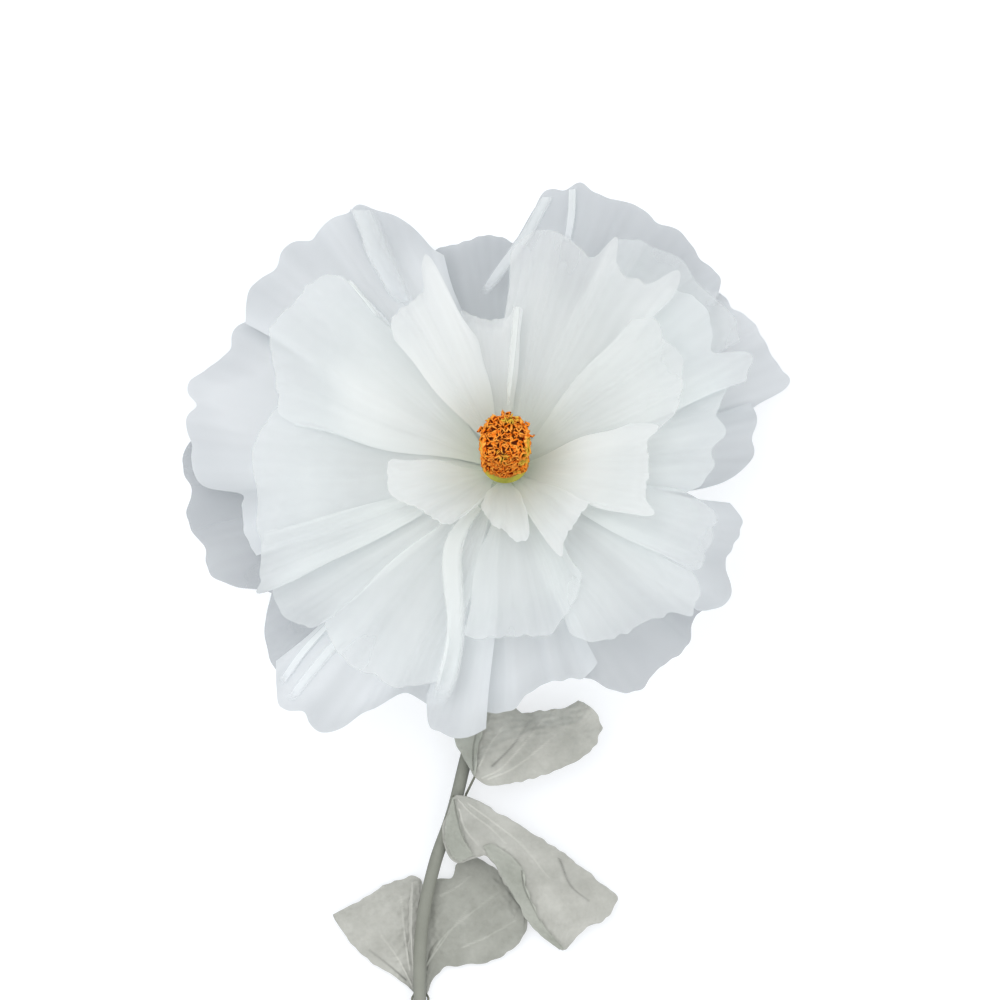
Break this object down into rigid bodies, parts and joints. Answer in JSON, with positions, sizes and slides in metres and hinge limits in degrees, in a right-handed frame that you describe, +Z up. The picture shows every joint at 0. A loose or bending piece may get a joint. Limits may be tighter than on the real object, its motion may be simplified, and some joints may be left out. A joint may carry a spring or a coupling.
{
  "type": "giant paper flower",
  "caption": "Giant long-stemmed flower: layered, scalloped white paper petals round an orange frilled centre, with wired grey-green paper leaves.",
  "frame": {"origin": "on the table, under the middle of the part's footprint as it lies face up", "axes": "+Z up from the table, +Y along the stem from its cut end towards the head, +X to the right seen from above with the head away from the viewer"},
  "size_m": [0.5004, 0.9046, 0.1778],
  "materials": {
    "outer_petal_paper": "thin translucent tissue, cool white",
    "middle_petal_paper": "thin translucent tissue, white",
    "inner_petal_paper": "thin translucent tissue, warm white",
    "hub_card": "matt rolled card",
    "pod_paper": "matt, yellow-green",
    "frill_paper": "matt, crumpled, orange",
    "stem_wrap": "matt, grey-green",
    "leaf_paper": "thin crinkled tissue, grey-green",
    "wire_wrap": "paper-wrapped wire, matt, grey-green"
  },
  "bodies": {
    "root": {"hub": "hub_card", "inner_petal_01": "inner_petal_paper", "inner_petal_02": "inner_petal_paper", "inner_petal_03": "inner_petal_paper", "inner_petal_04": "inner_petal_paper", "inner_petal_05": "inner_petal_paper", "inner_petal_06": "inner_petal_paper", "inner_petal_07": "inner_petal_paper", "inner_petal_08": "inner_petal_paper", "leaf_01": "leaf_paper", "leaf_02": "leaf_paper", "leaf_03": "leaf_paper", "leaf_04": "leaf_paper", "leaf_wire_01": "wire_wrap", "leaf_wire_02": "wire_wrap", "leaf_wire_03": "wire_wrap", "leaf_wire_04": "wire_wrap", "middle_petal_01": "middle_petal_paper", "middle_petal_02": "middle_petal_paper", "middle_petal_03": "middle_petal_paper", "middle_petal_04": "middle_petal_paper", "middle_petal_05": "middle_petal_paper", "middle_petal_06": "middle_petal_paper", "middle_petal_07": "middle_petal_paper", "middle_petal_08": "middle_petal_paper", "middle_petal_09": "middle_petal_paper", "middle_petal_10": "middle_petal_paper", "middle_petal_11": "middle_petal_paper", "outer_petal_01": "outer_petal_paper", "outer_petal_02": "outer_petal_paper", "outer_petal_03": "outer_petal_paper", "outer_petal_04": "outer_petal_paper", "outer_petal_05": "outer_petal_paper", "outer_petal_06": "outer_petal_paper", "outer_petal_07": "outer_petal_paper", "outer_petal_08": "outer_petal_paper", "outer_petal_09": "outer_petal_paper", "outer_petal_10": "outer_petal_paper", "outer_petal_11": "outer_petal_paper", "outer_petal_12": "outer_petal_paper", "outer_petal_13": "outer_petal_paper", "seed_pod": "pod_paper", "stamen_frill_01": "frill_paper", "stamen_frill_02": "frill_paper", "stamen_frill_03": "frill_paper", "stamen_frill_04": "frill_paper", "stem": "stem_wrap"}
  },
  "joints": []
}
